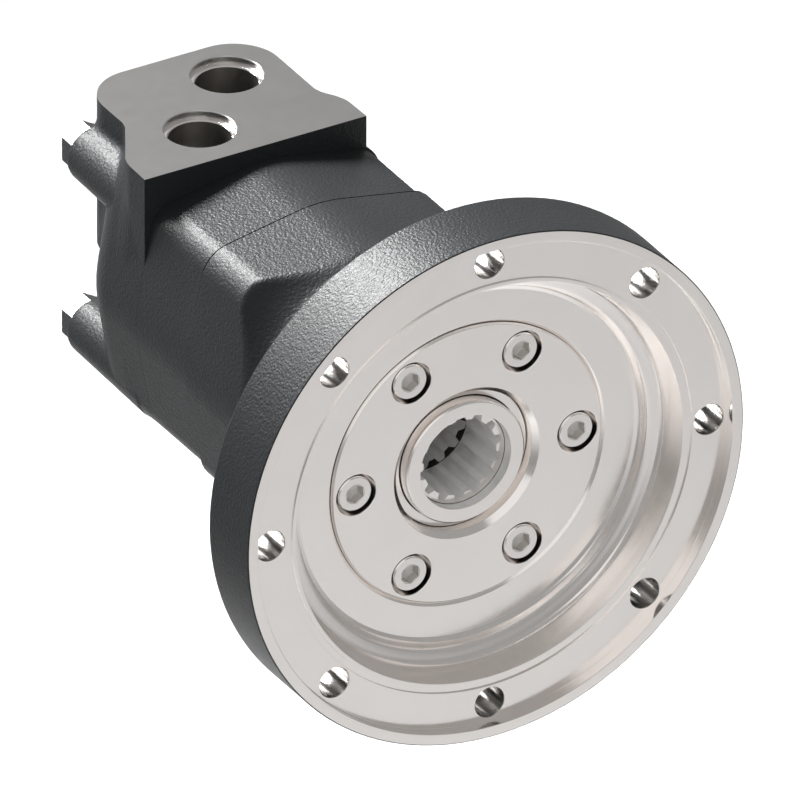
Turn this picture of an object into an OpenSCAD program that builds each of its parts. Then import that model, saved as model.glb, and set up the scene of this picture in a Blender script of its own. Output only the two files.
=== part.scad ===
// Orbital (geroler) hydraulic motor with a wide pilot flange and an
// internally splined hollow output shaft.
// +X points out of the front along the output axis, +Z is up through the
// two ports, and the origin is the centre of the flange front face.

/* [Flange] */
// Outside diameter of the mounting flange
flange_d = 188.2; // [188:0.1:190]
// Thickness of the flange
flange_t = 26.2; // [25.5:0.1:27]
// Diameter of the pilot recess in the front face
pilot_d = 180; // [178:0.5:182]
// Depth of the pilot recess
pilot_depth = 4; // [3.5:0.1:4.5]
// Number of flange bolt holes
flange_holes = 8; // [4:1:12]
// Diameter of each flange bolt hole
flange_hole_d = 11; // [9:0.5:11]
// Pitch circle diameter of the flange bolt holes
flange_pcd = 166.6; // [166:0.1:167.4]

/* [Bearing cover] */
// Outside diameter of the bearing cover
cover_d = 102.4; // [101.4:0.1:102.4]
// Pitch circle diameter of the cover screws
cover_pcd = 84; // [83:0.5:85]
// Across-flats size of the hexagon sockets in the cover screws
socket_af = 6.2; // [5:0.1:6.5]

/* [Output shaft] */
// Outside diameter of the shaft where the seal runs
shaft_d = 44.8; // [44.6:0.1:44.8]
// Number of teeth in the splined bores of shaft and rotor
spline_n = 14; // [12:1:16]
// Inner diameter over the tips of the internal spline teeth
spline_tip_d = 27.6; // [27.4:0.1:27.8]
// Diameter at the bottom of the internal spline spaces
spline_root_d = 32.2; // [32:0.1:32.3]
// Angle by which the spline is turned from the +Y axis
spline_phase = 11.5; // [-12:0.5:12]

/* [Geroler set] */
// Radius on which the seven rollers sit
roller_pcr = 30; // [29.9:0.1:30]
// Radius of each geroler roller
roller_r = 5; // [4.9:0.05:5]
// Offset of the rotor centre from the motor axis
ecc = 2.5; // [2.4:0.05:2.5]
// Radial clearance between the rotor and the rollers
rotor_gap = 0.12; // [0.1:0.01:0.2]

/* [Body] */
// Offset of each tie bolt from the axis, sideways and up
bolt_c = 32.7; // [32.5:0.1:32.9]
// Radius of the round part of the front housing section
front_R = 50.1; // [49.5:0.1:50.5]
// Radius of the corner bosses of the front housing
front_r = 12.0; // [11.5:0.1:12.2]
// Radius of the round part of the stator and rear housing sections
mid_R = 48.5; // [48:0.1:49]
// Radius of the corner bosses of the stator ring
mid_r = 10.4; // [10.2:0.1:10.6]
// Radius of the corner bosses of the rear housing at its front face
rear_r = 11.2; // [11:0.1:11.4]

/* [Ports] */
// Height of the machined port face above the axis
port_z = 53.9; // [53.5:0.1:54.5]
// Radius of each port bore
port_r = 10.5; // [10:0.1:10.6]
// Radius of the counterbore around each port
port_cb_r = 12.1; // [11.9:0.1:12.3]
// Depth of the port counterbore
port_cb_depth = 2.8; // [2:0.1:3]

/* [Hidden] */
// Positions along the axis, all negative because they lie behind the flange face
x_floor = -19.1;
x_cover = -19.0;
x_cover_b = -33.0;
x_brg = -33.6;      // front face of the front bearing cone
x_brg2 = -85;       // rear face of the rear bearing cone
x_j1 = -117;        // joint between front housing and stator ring
x_j2 = -152.5;      // joint between stator ring and rear housing
x_wear = -111;      // front face of the wear plate
x_chan = -162.5;    // rear face of the channel plate
x_rear = -193.5;    // rear face of the cast body
x_boss = -208.2;    // rear face of the four bolt bosses
x_ds = -63.5;       // swing centre of the drive link in the shaft spline
x_dr = -126;        // swing centre of the drive link in the rotor spline
x_vr = -140.5;      // swing centre of the valve link in the rotor spline
x_vv = -171.5;      // swing centre of the valve link in the disc valve
drive_tilt = atan(ecc / (x_ds - x_dr));
valve_tilt = atan(ecc / (x_vr - x_vv));
brg_r = 27;         // pitch radius of the tapered rollers
brg_tilt = 12;      // tilt of the roller axes
brg_cone = 2.3;     // half angle of a tapered roller
brg_n = 16;
port_a = [-199.0, 12.8];
port_b = [-172.4, -12.8];
shaft_r = shaft_d / 2;
journal_r = 19.97;
pitch_r = 14.8;
pin_q = 20.4;       // radius on which the balance pins sit

$fn = 96;

// ---- helpers ---------------------------------------------------------

// A 2D section drawn in the Y-Z plane and extruded from x1 forward to x0
module prism(x0, x1) {
  translate([x1, 0, 0]) rotate([90, 0, 90]) linear_extrude(height = x0 - x1) children();
}
// A solid of revolution about the motor axis from [radius, x] points
module turned(pts) {
  rotate([90, 0, 90]) rotate_extrude() polygon(pts);
}
// A cylinder along the motor axis at y, z
module rod(x0, x1, r, y = 0, z = 0) {
  translate([x1, y, z]) rotate([0, 90, 0]) cylinder(h = x0 - x1, r = r);
}
// Points of an arc in [radius, x] form
function arc(cr, cx, r, a0, a1, n) =
  [for (i = [0 : n]) let(a = a0 + (a1 - a0) * i / n) [cr + r * cos(a), cx + r * sin(a)]];
// Outline of the cast section: a circle joined by straight flanks to four corner bosses
function section_pt(a, R, r, c) =
  let(n = [cos(a), sin(a)], h = c * (abs(n[0]) + abs(n[1])) + r)
    h > R ? [sign(n[0]) * c + r * n[0], sign(n[1]) * c + r * n[1]] : [R * n[0], R * n[1]];
module section(R, r, c) {
  polygon([for (i = [0 : 119]) section_pt(i * 3 + 0.75, R, r, c)]);
}
// Spline space width at radius q for n teeth on a pitch radius p
function space_w(n, q, p) = 2 * PI * q / n - (PI * p / n + 2 * (q - p) * tan(30));
function half_a(w, q) = w / 2 / q * 180 / PI;
// Internal spline outline: the hole
module spline_hole(n, rt, rr, p) {
  polygon([for (i = [0 : n - 1]) each let(a = spline_phase + i * 360 / n,
    ht = half_a(space_w(n, rt, p), rt), hr = half_a(space_w(n, rr, p), rr))
    [[rt * cos(a - ht), rt * sin(a - ht)], [rr * cos(a - hr), rr * sin(a - hr)],
     [rr * cos(a + hr), rr * sin(a + hr)], [rt * cos(a + ht), rt * sin(a + ht)]]]);
}
// External spline outline with fl clearance on each flank
module spline_tooth(n, rt, rr, p, fl) {
  polygon([for (i = [0 : n - 1]) each let(a = spline_phase + i * 360 / n,
    ht = half_a(space_w(n, rt, p) - 2 * fl, rt), hr = half_a(space_w(n, rr, p) - 2 * fl, rr))
    [[rr * cos(a - hr), rr * sin(a - hr)], [rt * cos(a - ht), rt * sin(a - ht)],
     [rt * cos(a + ht), rt * sin(a + ht)], [rr * cos(a + hr), rr * sin(a + hr)]]]);
}
// Four tie-bolt positions in the Y-Z plane
module at_bolts() {
  for (sy = [-1, 1], sz = [-1, 1]) translate([0, sy * bolt_c, sz * bolt_c]) children();
}

// ---- castings and covers ----------------------------------------------

module front_housing() {
  color([0.22, 0.23, 0.24]) difference() {
    union() {
      // flange, neck and the fillet between them
      turned(concat([[0, 0], [flange_d / 2, 0], [flange_d / 2, -flange_t + 1.2],
        [flange_d / 2 - 1.2, -flange_t], [68.5, -flange_t]],
        arc(68.5, -flange_t - 20, 20, 90, 180, 10), [[48.5, -76], [0, -76]]));
      // cast body, cut at its front by a concave turned relief
      intersection() {
        prism(-60, x_j1) section(front_R, front_r, bolt_c);
        turned(concat([[0, x_j1], [70, x_j1], [70, -98]],
          [for (i = [0 : 12]) let(q = 62 - (62 - 48.4) * i / 12)
            [q, -66.1 - sqrt(34.2 * 34.2 - (81.25 - q) * (81.25 - q))]],
          [[48.4, -70], [0, -70]]));
      }
    }
    // pilot recess, seal groove, deep recess, cover bore, bearing bores, chamber
    turned([[0, 1], [pilot_d / 2, 1], [pilot_d / 2, -pilot_depth], [77.5, -pilot_depth],
      [77.5, -pilot_depth - 1.8], [74.3, -pilot_depth - 1.8], [74.3, -pilot_depth],
      [73.4, -pilot_depth], [72.0, -12.6], [71.6, -13.8], [70.8, -14.7], [69.4, -15.1],
      [67.6, -15.2], [66.6, -15.7], [66.0, -16.6], [65.6, -17.8], [64.9, -18.7],
      [63.6, x_floor], [52.4, x_floor], [51.3, x_floor - 1.1], [51.3, x_cover_b],
      [34, x_cover_b], [34, -52.6], [31, -52.6], [31, -66], [34, -66], [34, -86],
      [35.5, -86], [35.5, x_wear], [37.1, x_wear], [37.1, x_j1 - 1], [0, x_j1 - 1]]);
    // seal groove around the wear plate
    turned([[38, x_j1 - 1], [38, x_j1 + 1.3], [39.8, x_j1 + 1.3], [39.8, x_j1 - 1]]);
    // flange bolt holes
    for (i = [0 : flange_holes - 1]) let(a = i * 360 / flange_holes)
      rod(1, -flange_t - 2, flange_hole_d / 2, flange_pcd / 2 * cos(a), flange_pcd / 2 * sin(a));
    // threaded holes of the cover screws
    for (a = [0 : 60 : 300]) rod(-30, -49, 4, cover_pcd / 2 * cos(a), cover_pcd / 2 * sin(a));
    // threaded holes of the tie bolts
    at_bolts() rod(-99, x_j1 - 1, 5);
  }
}

module bearing_cover() {
  color([0.78, 0.77, 0.75]) difference() {
    turned([[25.8, x_cover - 1.9], [27.7, x_cover], [cover_d / 2 - 0.5, x_cover],
      [cover_d / 2, x_cover - 0.5], [cover_d / 2, -28.7], [48.95, -28.7], [48.95, -31.2],
      [cover_d / 2, -31.2], [cover_d / 2, x_cover_b], [30, x_cover_b], [30, -27.8], [25.8, -27.8]]);
    for (a = [0 : 60 : 300]) {
      rod(-10, -27.6, 7.57, cover_pcd / 2 * cos(a), cover_pcd / 2 * sin(a));
      rod(-20, -40, 4.5, cover_pcd / 2 * cos(a), cover_pcd / 2 * sin(a));
    }
  }
}

module cover_screws() {
  color([0.75, 0.74, 0.72]) for (a = [0 : 60 : 300])
    translate([0, cover_pcd / 2 * cos(a), cover_pcd / 2 * sin(a)]) difference() {
      turned([[0, -19.6], [6.05, -19.6], [6.45, -20.0], [6.45, -27.6], [3.95, -27.6],
        [3.95, -47.4], [3.3, -48], [0, -48]]);
      translate([-23.6, 0, 0]) rotate([0, 90, 0])
        cylinder(h = 10, r = socket_af / sqrt(3), $fn = 6);
    }
}

module cover_o_ring() {
  color([0.08, 0.08, 0.08]) rotate([90, 0, 90]) rotate_extrude()
    translate([50.12, -29.95]) circle(r = 1.1, $fn = 32);
}

module dust_seal() {
  color([0.72, 0.71, 0.69])
    turned([[25.7, -24.5], [25.4, -24.2], [22.7, -24.2], [22.7, -25.4], [22.47, -26.4],
            [22.47, -26.7], [23.3, -27.6], [25.7, -27.6]]);
}

module shaft_seal() {
  color([0.12, 0.12, 0.12])
    turned([[29.9, -28.0], [24.4, -28.0], [23.2, -29.0], [22.47, -30.3], [22.47, -30.6],
      [23.4, -31.6], [24.4, -31.6], [24.4, -29.6], [28.4, -29.6], [28.4, -32.9], [29.9, -32.9]]);
}

// ---- tapered roller bearings ------------------------------------------
// Drawn for the front bearing, with xm the centre of its rollers. The rear one is mirrored.
function race_in(x) = 27 - 3.15 * cos(brg_tilt) + (x - 3.15 * sin(brg_tilt)) * tan(brg_tilt - brg_cone);
function race_out(x) = 27 + 3.15 * cos(brg_tilt) + (x + 3.15 * sin(brg_tilt)) * tan(brg_tilt + brg_cone);

module cup_shape() {
  turned([[33.95, 5.5], [race_out(5.5), 5.5], [race_out(-9.3), -9.3], [33.95, -9.3]]);
}
module cone_shape() {
  turned([[20.0, 9.4], [26.0, 9.4], [26.5, 8.9], [26.5, 6.9], [race_in(6.9), 6.9],
    [race_in(-7.2), -7.2], [23.2, -7.2], [23.2, -9.6], [20.0, -9.6]]);
}
module taper_roller(g) {
  translate([-6.2 - g, 0, 0]) rotate([0, 90, 0])
    cylinder(h = 12.4 + 2 * g, r1 = 3.1 - 6.2 * tan(brg_cone) + g, r2 = 3.1 + 6.2 * tan(brg_cone) + g, $fn = 32);
}
module taper_rollers(g) {
  for (i = [0 : brg_n - 1]) rotate([i * 360 / brg_n, 0, 0])
    translate([0, 0, brg_r]) rotate([0, -brg_tilt, 0]) taper_roller(g);
}
module cage_shape() {
  difference() {
    turned([[27.9 - 7.9 * tan(brg_tilt), -7.9], [27.9 + 6.4 * tan(brg_tilt), 6.4],
      [29.0 + 6.4 * tan(brg_tilt), 6.4], [29.0 - 7.9 * tan(brg_tilt), -7.9]]);
    taper_rollers(0.12);
  }
}
module front_at() { translate([x_brg - 9.4, 0, 0]) children(); }
module rear_at() { translate([x_brg2 + 9.4, 0, 0]) mirror([1, 0, 0]) children(); }

module front_bearing_cup() { color([0.7, 0.71, 0.73]) front_at() cup_shape(); }
module rear_bearing_cup() { color([0.7, 0.71, 0.73]) rear_at() cup_shape(); }
module front_bearing_cone() { color([0.7, 0.71, 0.73]) front_at() cone_shape(); }
module rear_bearing_cone() { color([0.7, 0.71, 0.73]) rear_at() cone_shape(); }
module front_bearing_rollers() { color([0.8, 0.8, 0.82]) front_at() taper_rollers(0); }
module rear_bearing_rollers() { color([0.8, 0.8, 0.82]) rear_at() taper_rollers(0); }
module front_bearing_cage() { color([0.6, 0.55, 0.4]) front_at() cage_shape(); }
module rear_bearing_cage() { color([0.6, 0.55, 0.4]) rear_at() cage_shape(); }

// ---- output shaft ------------------------------------------------------

module output_shaft() {
  color([0.78, 0.77, 0.75]) difference() {
    turned([[0, -19.6], [shaft_r - 0.6, -19.6], [shaft_r, -20.2], [shaft_r, x_brg],
      [journal_r, x_brg], [journal_r, -93.2], [journal_r - 0.8, -94], [0, -94]]);
    // counterbore with a small lead-in, relief between the splines, rear clearance
    turned([[0, -19], [17.3, -19], [17.3, -19.6], [17.15, -19.75], [17.15, -23.4], [0, -23.4]]);
    turned([[0, -43.4], [16.5, -43.4], [16.5, -46.8], [0, -46.8]]);
    turned([[0, -70], [16.6, -70], [16.6, -95], [0, -95]]);
    prism(-22, -72) spline_hole(spline_n, spline_tip_d / 2, spline_root_d / 2, pitch_r);
  }
}

module lock_washer() {
  color([0.6, 0.6, 0.58]) difference() {
    turned([[20.05, x_brg2 - 0.05], [27, x_brg2 - 0.05], [27, x_brg2 - 1.45], [20.05, x_brg2 - 1.45]]);
    for (i = [0 : 12]) rotate([i * 360 / 13, 0, 0])
      translate([x_brg2 - 3, -1.4, 25.2]) cube([6, 2.8, 5]);
  }
}

module bearing_nut() {
  color([0.5, 0.5, 0.5]) difference() {
    turned([[20.02, x_brg2 - 1.5], [27.4, x_brg2 - 1.5], [28, x_brg2 - 2.1], [28, x_brg2 - 7.9],
      [27.4, x_brg2 - 8.5], [20.02, x_brg2 - 8.5]]);
    for (i = [0 : 3]) rotate([i * 90, 0, 0])
      translate([x_brg2 - 12, -3, 25.5]) cube([14, 6, 5]);
  }
}

// ---- links ---------------------------------------------------------------

module drive_link() {
  l = (x_ds - x_dr) / cos(drive_tilt);
  color([0.55, 0.55, 0.55]) translate([x_ds, 0, 0]) rotate([0, 0, -drive_tilt]) {
    difference() {
      union() {
        intersection() {
          prism(5, -5) spline_tooth(spline_n, spline_root_d / 2 - 0.5, spline_tip_d / 2 - 0.5, pitch_r, 0.35);
          turned([[0, 5], [14.6, 5], [15.4, 2.6], [15.65, 0], [15.4, -2.6], [14.6, -5], [0, -5]]);
        }
        turned([[0, -4], [13, -4], [13, -6], [11.5, -10], [11.5, -l + 10], [13, -l + 7], [13, -l + 5], [0, -l + 5]]);
        intersection() {
          prism(-l + 6, -l - 6) spline_tooth(spline_n, spline_root_d / 2 - 0.5, spline_tip_d / 2 - 0.5, pitch_r, 0.35);
          turned([[0, -l + 6], [14.6, -l + 6], [15.4, -l + 3], [15.65, -l], [15.4, -l - 3], [14.6, -l - 6], [0, -l - 6]]);
        }
        turned([[0, -l - 5], [11, -l - 5], [11, -l - 6.6], [6, -l - 7.6], [0, -l - 7.6]]);
      }
      // centre drillings from turning
      turned([[0, 6], [3.2, 6], [3.2, 4.6], [0, 1.6]]);
      turned([[0, -l - 9], [2.4, -l - 9], [2.4, -l - 7.4], [0, -l - 5.4]]);
    }
  }
}

module valve_link() {
  l = (x_vr - x_vv) / cos(valve_tilt);
  color([0.55, 0.55, 0.55]) translate([x_vv, 0, 0]) rotate([0, 0, valve_tilt]) difference() {
    union() {
      intersection() {
        prism(l + 3, l - 3) spline_tooth(spline_n, spline_root_d / 2 - 0.5, spline_tip_d / 2 - 0.5, pitch_r, 0.35);
        turned([[0, l - 3], [15.0, l - 3], [15.5, l], [15.0, l + 3], [0, l + 3]]);
      }
      turned([[0, l - 2], [12.6, l - 2], [12.6, l - 3.6], [9, l - 7], [9, -2], [0, -2]]);
      intersection() {
        prism(3, -3) spline_tooth(12, 12.5, 10.3, 11.6, 0.3);
        turned([[0, 3], [12.1, 3], [12.45, 0], [12.1, -3], [0, -3]]);
      }
    }
    turned([[0, -4], [2.4, -4], [2.4, -2.4], [0, -0.6]]);
  }
}

// ---- geroler set ------------------------------------------------------------

module wear_plate() {
  color([0.68, 0.68, 0.68]) difference() {
    turned([[18.5, x_wear - 0.1], [36.4, x_wear - 0.1], [37.0, x_wear - 0.7], [37.0, x_j1], [18.5, x_j1]]);
    for (k = [0 : 6]) let(a = (k + 0.5) * 360 / 7)
      rod(x_wear + 1, x_wear - 2.5, 1.6, 31 * cos(a), 31 * sin(a));
  }
}

module stator_ring() {
  color([0.23, 0.24, 0.25]) difference() {
    prism(x_j1, x_j2) section(mid_R, mid_r, bolt_c);
    rod(x_j1 + 1, x_j2 - 1, roller_pcr + 0.35);
    for (k = [0 : 6]) let(a = k * 360 / 7)
      rod(x_j1 + 1, x_j2 - 1, roller_r + 0.05, roller_pcr * cos(a), roller_pcr * sin(a));
    at_bolts() rod(x_j1 + 1, x_j2 - 1, 5.25);
  }
}

// Path of a roller centre seen from the rotor, then moved inwards by the roller radius
function path(a) = roller_pcr * [cos(a), sin(a)] - ecc * [cos(7 * a), sin(7 * a)];
function path_d(a) = roller_pcr * [-sin(a), cos(a)] - 7 * ecc * [-sin(7 * a), cos(7 * a)];
function rotor_pt(a) = let(d = path_d(a), l = norm(d))
  path(a) - (roller_r + rotor_gap) * [d[1] / l, -d[0] / l];

module rotor() {
  color([0.66, 0.67, 0.68]) translate([0, ecc, 0]) difference() {
    prism(x_j1 - 0.08, x_j2 + 0.08) polygon([for (i = [0 : 179]) rotor_pt(i * 2)]);
    prism(x_j1 + 1, x_j2 - 1) spline_hole(spline_n, spline_tip_d / 2, spline_root_d / 2, pitch_r);
  }
}

module thrust_button() {
  color([0.6, 0.6, 0.6]) translate([0, ecc, 0])
    turned([[0, -134.3], [4, -134.3], [5, -134.7], [12.4, -134.7], [13.2, -135.1], [13.2, -135.7],
      [12.4, -136.2], [0, -136.2]]);
}

module geroler_roller(k) {
  a = (k - 1) * 360 / 7;
  color([0.75, 0.76, 0.78]) translate([0, roller_pcr * cos(a), roller_pcr * sin(a)])
    turned([[0, x_j1 - 0.1], [roller_r - 0.4, x_j1 - 0.1], [roller_r, x_j1 - 0.5],
      [roller_r, x_j2 + 0.5], [roller_r - 0.4, x_j2 + 0.1], [0, x_j2 + 0.1]]);
}

module front_section_o_ring() {
  color([0.08, 0.08, 0.08]) rotate([90, 0, 90]) rotate_extrude()
    translate([38.9, x_j1 + 0.66]) circle(r = 0.62, $fn = 32);
}
module rear_section_o_ring() {
  color([0.08, 0.08, 0.08]) rotate([90, 0, 90]) rotate_extrude()
    translate([39.15, x_j2 - 0.66]) circle(r = 0.62, $fn = 32);
}

// ---- valve section ------------------------------------------------------------

// A straight slot with cropped corners, centred at radius q, turned to angle a
module slot2d(q, w, h, a) {
  rotate(a) translate([q, 0]) polygon([[-w / 2, -h / 2 + 1], [-w / 2 + 1, -h / 2],
    [w / 2 - 1, -h / 2], [w / 2, -h / 2 + 1], [w / 2, h / 2 - 1], [w / 2 - 1, h / 2],
    [-w / 2 + 1, h / 2], [-w / 2, h / 2 - 1]]);
}

module channel_plate() {
  color([0.62, 0.62, 0.62]) difference() {
    turned([[14.5, x_j2], [38.0, x_j2], [38.0, x_chan + 0.6], [37.4, x_chan], [14.5, x_chan]]);
    for (k = [0 : 6])
      prism(x_j2 + 1, x_chan - 1) slot2d(23.4, 8, 4.2, (k + 0.5) * 360 / 7);
  }
}

module disc_valve() {
  color([0.6, 0.61, 0.62]) difference() {
    turned([[0, x_chan - 0.1], [29, x_chan - 0.1], [29, -174.6], [17.5, -174.6], [17, -178], [0, -178]]);
    prism(-160, -180) spline_hole(12, 11, 13, 11.6);
    // six pockets open to the rim and six open to the back, in turn
    for (k = [0 : 5]) {
      prism(-160, -168.5) slot2d(25.4, 14, 4.4, k * 60);
      prism(-160, -176) slot2d(22.6, 8, 4.4, k * 60 + 30);
    }
  }
}

module balance_ring() {
  color([0.62, 0.62, 0.62]) difference() {
    turned([[18.2, -174.75], [30.6, -174.75], [30.6, -177.6], [29.2, -177.6], [29.2, -179.8],
      [30.6, -179.8], [30.6, -182], [24.6, -182], [24.6, -180], [22.6, -180], [22.6, -182],
      [18.2, -182]]);
    for (a = [165, 345]) rod(-178.5, -184, 1.6, pin_q * cos(a), pin_q * sin(a));
    // oil passages to the back of the disc valve
    for (k = [0 : 5]) rod(-170, -190, 1.4, 20.4 * cos(k * 60 + 15), 20.4 * sin(k * 60 + 15));
  }
}

module balance_seals() {
  color([0.08, 0.08, 0.08]) {
    rotate([90, 0, 90]) rotate_extrude() translate([30.2, -178.7]) circle(r = 0.95, $fn = 32);
    rotate([90, 0, 90]) rotate_extrude() translate([23.6, -181.05]) circle(r = 0.9, $fn = 32);
  }
}

module balance_spring() {
  // a disc spring behind the balance ring
  color([0.45, 0.46, 0.48])
    turned([[25.4, -182.1], [26.4, -182.1], [30.6, -184.6], [30.6, -185.6], [29.4, -185.6], [25.4, -183.1]]);
}

module balance_pins() {
  color([0.7, 0.7, 0.7]) for (a = [165, 345])
    rod(-179, -190.5, 1.5, pin_q * cos(a), pin_q * sin(a));
}

// Outline of the port block seen from above, as [x, y]
function corner(cx, cy, r, a0, a1, n) =
  [for (i = [0 : n]) let(a = a0 + (a1 - a0) * i / n) [cx + r * cos(a), cy + r * sin(a)]];
block_pts = concat(
  [[x_j2, -45.3], [-163.2, -45.0], [-165.4, -44.6], [-167.8, -43.75], [-183.1, -35.0], [-185.6, -33.6], [-188.5, -32.8]],
  corner(-201.2, -16.2, 16.6, 270, 180, 8),
  corner(-201.2, 16.6, 16.6, 180, 90, 8),
  [[-176.6, 33.2], [-173.6, 34.0], [-168.4, 37.2], [-165.4, 38.4], [-163.0, 38.7], [x_j2, 39.0]]);

module rear_housing() {
  color([0.23, 0.24, 0.25]) difference() {
    union() {
      intersection() {
        prism(x_j2, x_rear) section(mid_R, rear_r, bolt_c);
        turned(concat([[0, x_j2 + 1], [70, x_j2 + 1], [70, -174], [51.5, -174]],
          arc(28.5, x_rear + 20, 20, -13, -90, 8), [[0, x_rear]]));
      }
      at_bolts() translate([x_boss, 0, 0]) rotate([0, 90, 0])
        cylinder(h = x_j2 - x_boss, r1 = rear_r - 1.1, r2 = rear_r);
      translate([0, 0, -2]) linear_extrude(height = port_z + 2) polygon(block_pts);
      // sloping underside that carries the overhang of the port block
      rotate([90, 0, 0]) translate([0, 0, -24]) linear_extrude(height = 48)
        polygon([[-216, -1.9], [-196, -24], [-190, -24], [-190, -1.9]]);
    }
    // channel plate recess, valve chamber, balance chamber
    turned([[0, x_j2 + 1], [38.05, x_j2 + 1], [38.05, x_chan], [36, x_chan], [36, -174.9],
      [31.2, -174.9], [31.2, -186], [0, -186]]);
    turned([[38.3, x_j2 + 1], [38.3, x_j2 - 1.3], [40.1, x_j2 - 1.3], [40.1, x_j2 + 1]]);
    at_bolts() rod(x_j2 + 1, x_boss - 1, 5.25);
    for (a = [165, 345]) rod(-185, -191, 1.6, pin_q * cos(a), pin_q * sin(a));
    // room for the heads of the upper tie bolts in the port block
    for (sy = [-1, 1]) rod(x_boss, -222, 10.4, sy * bolt_c, bolt_c);
    // the two ports, each with its counterbore
    for (p = [port_a, port_b]) translate([p[0], p[1], 0]) {
      translate([0, 0, port_z - port_cb_depth]) cylinder(h = 10, r = port_cb_r);
      translate([0, 0, port_z - port_cb_depth - 14.6]) cylinder(h = 20, r = port_r);
    }
    // passage of the front port into the valve chamber
    translate([-169.2, port_b[1], 26]) cylinder(h = 14, r = 5);
    // passage of the rear port into the chamber behind the valve
    translate([port_a[0], port_a[1], 14]) cylinder(h = 26, r = 7);
    rod(-180, port_a[0], 5.5, port_a[1], 20);
  }
}

module tie_bolts() {
  color([0.2, 0.21, 0.22]) at_bolts() union() {
    rod(-100.5, x_boss, 4.95);
    intersection() {
      translate([x_boss - 7.5, 0, 0]) rotate([0, 90, 0]) cylinder(h = 7.5, r = 15 / sqrt(3), $fn = 6);
      turned([[0, x_boss], [10, x_boss], [10, x_boss - 7.1], [8.2, x_boss - 7.5], [0, x_boss - 7.5]]);
    }
  }
}

// ---- assembly ------------------------------------------------------------

front_housing();
bearing_cover();
cover_screws();
cover_o_ring();
dust_seal();
shaft_seal();
front_bearing_cup();
rear_bearing_cup();
wear_plate();
front_section_o_ring();
stator_ring();
rear_section_o_ring();
channel_plate();
rear_housing();
balance_ring();
balance_seals();
balance_spring();
balance_pins();
tie_bolts();
output_shaft();
front_bearing_cone();
rear_bearing_cone();
lock_washer();
bearing_nut();
front_bearing_cage();
front_bearing_rollers();
rear_bearing_cage();
rear_bearing_rollers();
drive_link();
rotor();
thrust_button();
geroler_roller(1);  // geroler_roller_1
geroler_roller(2);  // geroler_roller_2
geroler_roller(3);  // geroler_roller_3
geroler_roller(4);  // geroler_roller_4
geroler_roller(5);  // geroler_roller_5
geroler_roller(6);  // geroler_roller_6
geroler_roller(7);  // geroler_roller_7
valve_link();
disc_valve();
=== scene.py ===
import math

import bmesh
import bpy
import numpy as np
from mathutils import Matrix, Vector


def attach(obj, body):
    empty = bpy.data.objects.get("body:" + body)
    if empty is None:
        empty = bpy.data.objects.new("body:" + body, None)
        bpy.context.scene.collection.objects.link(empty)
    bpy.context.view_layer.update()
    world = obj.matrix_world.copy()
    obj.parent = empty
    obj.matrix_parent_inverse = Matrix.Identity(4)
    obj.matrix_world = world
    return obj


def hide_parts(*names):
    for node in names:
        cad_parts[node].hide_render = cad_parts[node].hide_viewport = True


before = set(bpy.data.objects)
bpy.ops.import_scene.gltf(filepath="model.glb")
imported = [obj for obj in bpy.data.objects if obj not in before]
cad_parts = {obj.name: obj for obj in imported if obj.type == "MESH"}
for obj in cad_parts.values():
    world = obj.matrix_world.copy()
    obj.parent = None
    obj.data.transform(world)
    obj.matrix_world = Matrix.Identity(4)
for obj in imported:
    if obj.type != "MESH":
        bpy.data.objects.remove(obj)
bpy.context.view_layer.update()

scene = bpy.context.scene
TAU = 2 * math.pi
MM = 0.001

# ---------------------------------------------------------------------------
# Materials
# ---------------------------------------------------------------------------


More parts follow.
